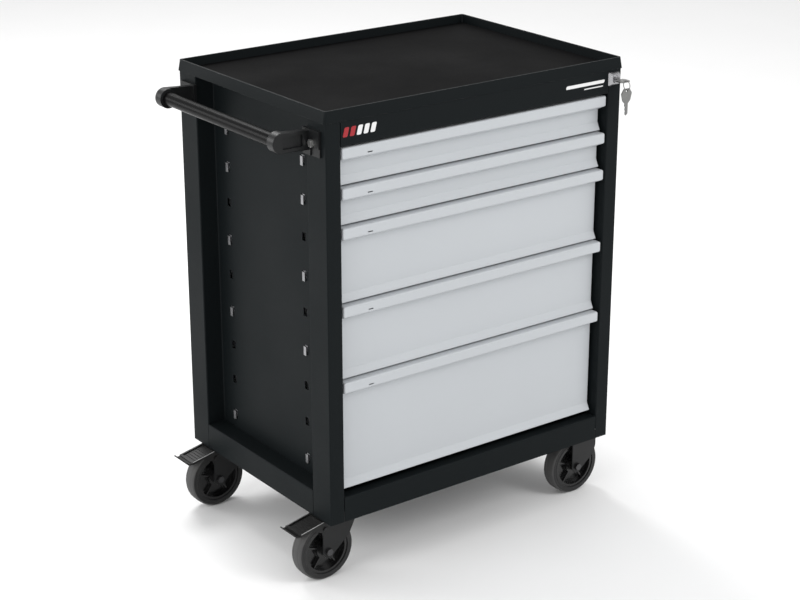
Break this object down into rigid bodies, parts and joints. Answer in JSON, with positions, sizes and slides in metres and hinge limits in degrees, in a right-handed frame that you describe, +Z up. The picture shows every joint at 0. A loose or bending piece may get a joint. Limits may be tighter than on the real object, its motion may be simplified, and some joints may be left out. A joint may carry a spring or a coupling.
{
  "type": "rolling tool chest",
  "caption": "Rolling tool chest: sheet-metal cabinet with drawers on ball slides, a matted top tray, a side push handle, swivel and fixed casters and a cylinder lock.",
  "frame": {"origin": "centre of the bounding box's base, on the floor", "axes": "+X to the right along the front, +Y from the drawer fronts to the back, +Z up"},
  "size_m": [0.791, 0.5486, 0.9375],
  "materials": {
    "body_paint": "satin fine-texture anthracite powder coat",
    "drawer_paint": "satin light grey powder coat",
    "mat_rubber": "matt ribbed mat",
    "handle_black": "gloss black sleeve",
    "bracket_cast": "satin black cast bracket",
    "zinc_steel": "bright zinc plate",
    "axle_steel": "blackened steel",
    "slide_steel": "zinc plated rolled steel",
    "fork_steel": "satin black paint on pressed steel",
    "pedal_plastic": "matt black moulding",
    "rim_plastic": "satin black moulding",
    "tyre_rubber": "dark grey rubber tread",
    "lock_metal": "satin nickel plate",
    "key_metal": "nickel plated brass"
  },
  "bodies": {
    "cabinet": {"back_panel": "body_paint", "base_pan": "body_paint", "bottom_rail": "body_paint", "caster_bolts": "zinc_steel", "caster_plates": "fork_steel", "fixed_axles": "axle_steel", "fixed_fork_front": "fork_steel", "fixed_fork_rear": "fork_steel", "handle_bolts": "zinc_steel", "handle_bracket_front": "bracket_cast", "handle_bracket_rear": "bracket_cast", "handle_tube": "handle_black", "lock_housing": "lock_metal", "side_shell_left": "body_paint", "side_shell_right": "body_paint", "slide_outer_left": "slide_steel", "slide_outer_right": "slide_steel", "top_fascia": "body_paint", "tray_mat": "mat_rubber", "worktop_tray": "body_paint"},
    "drawer_1": {"drawer_front_1": "drawer_paint", "drawer_box_1": "drawer_paint", "slide_inner_1": "slide_steel"},
    "middle_1": {"slide_middle_1": "slide_steel"},
    "drawer_2": {"drawer_front_2": "drawer_paint", "drawer_box_2": "drawer_paint", "slide_inner_2": "slide_steel"},
    "middle_2": {"slide_middle_2": "slide_steel"},
    "drawer_3": {"drawer_front_3": "drawer_paint", "drawer_box_3": "drawer_paint", "slide_inner_3": "slide_steel"},
    "middle_3": {"slide_middle_3": "slide_steel"},
    "drawer_4": {"drawer_front_4": "drawer_paint", "drawer_box_4": "drawer_paint", "slide_inner_4": "slide_steel"},
    "middle_4": {"slide_middle_4": "slide_steel"},
    "drawer_5": {"drawer_front_5": "drawer_paint", "drawer_box_5": "drawer_paint", "slide_inner_5": "slide_steel"},
    "middle_5": {"slide_middle_5": "slide_steel"},
    "swivel_front": {"swivel_fork_front": "fork_steel", "swivel_axle_front": "axle_steel"},
    "brake_front": {"brake_pedal_front": "pedal_plastic"},
    "swivel_wheel_front": {"wheel_rim_swivel_front": "rim_plastic", "tyre_swivel_front": "tyre_rubber"},
    "fixed_wheel_front": {"wheel_rim_fixed_front": "rim_plastic", "tyre_fixed_front": "tyre_rubber"},
    "swivel_rear": {"swivel_fork_rear": "fork_steel", "swivel_axle_rear": "axle_steel"},
    "brake_rear": {"brake_pedal_rear": "pedal_plastic"},
    "swivel_wheel_rear": {"wheel_rim_swivel_rear": "rim_plastic", "tyre_swivel_rear": "tyre_rubber"},
    "fixed_wheel_rear": {"wheel_rim_fixed_rear": "rim_plastic", "tyre_fixed_rear": "tyre_rubber"},
    "lock": {"lock_barrel": "lock_metal", "lock_key": "key_metal"},
    "ring": {"key_ring": "key_metal"},
    "spare": {"spare_key": "key_metal"},
    "bar": {"lock_bar": "slide_steel"}
  },
  "joints": [
    {"name": "drawer_1_slide", "type": "slide", "parent": "cabinet", "child": "drawer_1", "axis": [0, -1, 0], "range_m": [0, 0.38]},
    {"name": "middle_1_slide", "type": "slide", "parent": "cabinet", "child": "middle_1", "axis": [0, -1, 0], "range_m": [0, 0.19]},
    {"name": "drawer_2_slide", "type": "slide", "parent": "cabinet", "child": "drawer_2", "axis": [0, -1, 0], "range_m": [0, 0.38]},
    {"name": "middle_2_slide", "type": "slide", "parent": "cabinet", "child": "middle_2", "axis": [0, -1, 0], "range_m": [0, 0.19]},
    {"name": "drawer_3_slide", "type": "slide", "parent": "cabinet", "child": "drawer_3", "axis": [0, -1, 0], "range_m": [0, 0.38]},
    {"name": "middle_3_slide", "type": "slide", "parent": "cabinet", "child": "middle_3", "axis": [0, -1, 0], "range_m": [0, 0.19]},
    {"name": "drawer_4_slide", "type": "slide", "parent": "cabinet", "child": "drawer_4", "axis": [0, -1, 0], "range_m": [0, 0.38]},
    {"name": "middle_4_slide", "type": "slide", "parent": "cabinet", "child": "middle_4", "axis": [0, -1, 0], "range_m": [0, 0.19]},
    {"name": "drawer_5_slide", "type": "slide", "parent": "cabinet", "child": "drawer_5", "axis": [0, -1, 0], "range_m": [0, 0.38]},
    {"name": "middle_5_slide", "type": "slide", "parent": "cabinet", "child": "middle_5", "axis": [0, -1, 0], "range_m": [0, 0.19]},
    {"name": "swivel_front_turn", "type": "hinge", "parent": "cabinet", "child": "swivel_front", "pos_m": [-0.2745, -0.17515, 0.14], "axis": [0, 0, 1], "continuous": true},
    {"name": "swivel_wheel_front_spin", "type": "hinge", "parent": "swivel_front", "child": "swivel_wheel_front", "pos_m": [-0.3005, -0.17515, 0.062], "axis": [0, 1, 0], "continuous": true},
    {"name": "fixed_wheel_front_spin", "type": "hinge", "parent": "cabinet", "child": "fixed_wheel_front", "pos_m": [0.3335, -0.17515, 0.062], "axis": [0, 1, 0], "continuous": true},
    {"name": "brake_front_press", "type": "hinge", "parent": "swivel_front", "child": "brake_front", "pos_m": [-0.3085, -0.17515, 0.113], "axis": [0, -1, 0], "range_deg": [0, 3]},
    {"name": "swivel_rear_turn", "type": "hinge", "parent": "cabinet", "child": "swivel_rear", "pos_m": [-0.2745, 0.22085, 0.14], "axis": [0, 0, 1], "continuous": true},
    {"name": "swivel_wheel_rear_spin", "type": "hinge", "parent": "swivel_rear", "child": "swivel_wheel_rear", "pos_m": [-0.3005, 0.22085, 0.062], "axis": [0, 1, 0], "continuous": true},
    {"name": "fixed_wheel_rear_spin", "type": "hinge", "parent": "cabinet", "child": "fixed_wheel_rear", "pos_m": [0.3335, 0.22085, 0.062], "axis": [0, 1, 0], "continuous": true},
    {"name": "brake_rear_press", "type": "hinge", "parent": "swivel_rear", "child": "brake_rear", "pos_m": [-0.3085, 0.22085, 0.113], "axis": [0, -1, 0], "range_deg": [0, 3]},
    {"name": "lock_turn", "type": "hinge", "parent": "cabinet", "child": "lock", "pos_m": [0.3665, -0.22715, 0.897], "axis": [0, -1, 0], "range_deg": [0, 90]},
    {"name": "bar_slide", "type": "slide", "parent": "cabinet", "child": "bar", "axis": [0, 0, -1], "range_m": [0, 0.0092]},
    {"name": "ring_swing", "type": "hinge", "parent": "lock", "child": "ring", "pos_m": [0.3665, -0.26215, 0.897], "axis": [1, 0, 0], "range_deg": [-10, 8]},
    {"name": "spare_swing", "type": "hinge", "parent": "ring", "child": "spare", "pos_m": [0.3665, -0.26455, 0.8816], "axis": [0, 1, 0], "range_deg": [-15, 15]}
  ],
  "couplings": [
    {"joint": "middle_1_slide", "follows": "drawer_1_slide", "ratio": 0.5},
    {"joint": "middle_2_slide", "follows": "drawer_2_slide", "ratio": 0.5},
    {"joint": "middle_3_slide", "follows": "drawer_3_slide", "ratio": 0.5},
    {"joint": "middle_4_slide", "follows": "drawer_4_slide", "ratio": 0.5},
    {"joint": "middle_5_slide", "follows": "drawer_5_slide", "ratio": 0.5},
    {"joint": "lock_turn", "follows": "bar_slide", "rad_per_m": 170.7}
  ]
}
